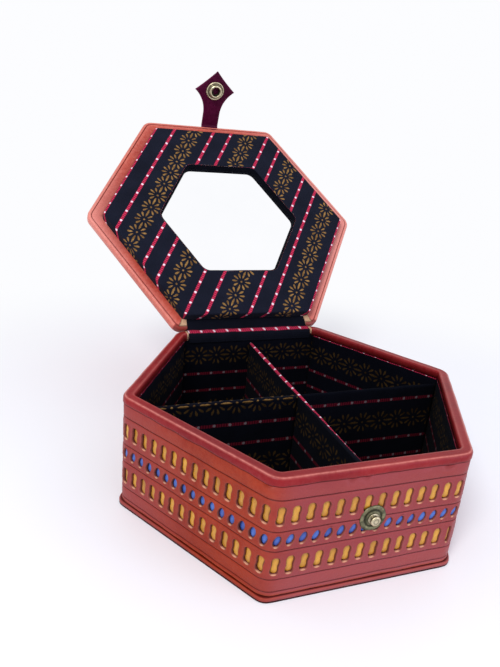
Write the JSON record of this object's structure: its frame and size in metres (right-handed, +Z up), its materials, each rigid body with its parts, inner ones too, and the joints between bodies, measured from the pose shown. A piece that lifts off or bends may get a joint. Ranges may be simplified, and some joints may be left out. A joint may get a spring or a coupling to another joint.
{
  "type": "jewellery case",
  "caption": "Six-sided leather jewellery case with laced walls, a hinged mirror lid, a snap strap and divided cloth-lined compartments.",
  "frame": {"origin": "middle of the case's underside", "axes": "+Z up, the snap faces -Y, the hinge is on the +Y wall, and two corners lie on the X axis"},
  "size_m": [0.2024, 0.3081, 0.2307],
  "materials": {
    "red_leather": "waxed and worn",
    "strap_leather": "polished",
    "dark_leather": "matt",
    "yellow_lace": "waxed",
    "blue_lace": "waxed",
    "printed_cloth": "block-printed cotton",
    "board": "raw",
    "felt": "pressed grey felt",
    "mirror_glass": "polished",
    "aged_brass": "aged",
    "nickelled_brass": "worn nickel plate"
  },
  "bodies": {
    "case": {"base_cover": "dark_leather", "base_board": "board", "floor_lining": "printed_cloth", "wall_board_front": "board", "wall_board_front_right": "board", "wall_board_back_right": "board", "wall_board_back": "board", "wall_board_back_left": "board", "wall_board_front_left": "board", "lining_front": "printed_cloth", "lining_front_right": "printed_cloth", "lining_back_right": "printed_cloth", "lining_back": "printed_cloth", "lining_back_left": "printed_cloth", "lining_front_left": "printed_cloth", "wall_leather": "red_leather", "lace_upper_yellow": "yellow_lace", "lace_middle_blue": "blue_lace", "lace_lower_yellow": "yellow_lace", "divider_long": "printed_cloth", "divider_cross": "printed_cloth", "hinge_leather": "red_leather", "hinge_cloth": "printed_cloth", "snap_washer": "aged_brass", "snap_stud": "aged_brass", "snap_rivet": "aged_brass"},
    "lid": {"lid_board": "board", "lid_leather": "red_leather", "mirror": "mirror_glass", "panel_felt": "felt", "panel_cloth": "printed_cloth", "strap_anchor": "strap_leather"},
    "strap": {"strap": "strap_leather", "snap_socket": "nickelled_brass", "snap_cap": "nickelled_brass"}
  },
  "joints": [
    {"name": "lid_hinge", "type": "hinge", "parent": "case", "child": "lid", "pos_m": [0, 0.087, 0.0653], "axis": [1, 0, 0], "range_deg": [0, 135.5], "deforming": ["hinge_cloth", "hinge_leather"]},
    {"name": "strap_fold", "type": "hinge", "parent": "lid", "child": "strap", "pos_m": [0, 0.21483, 0.19008], "axis": [1, 0, 0], "range_deg": [-90, 24.5]}
  ]
}
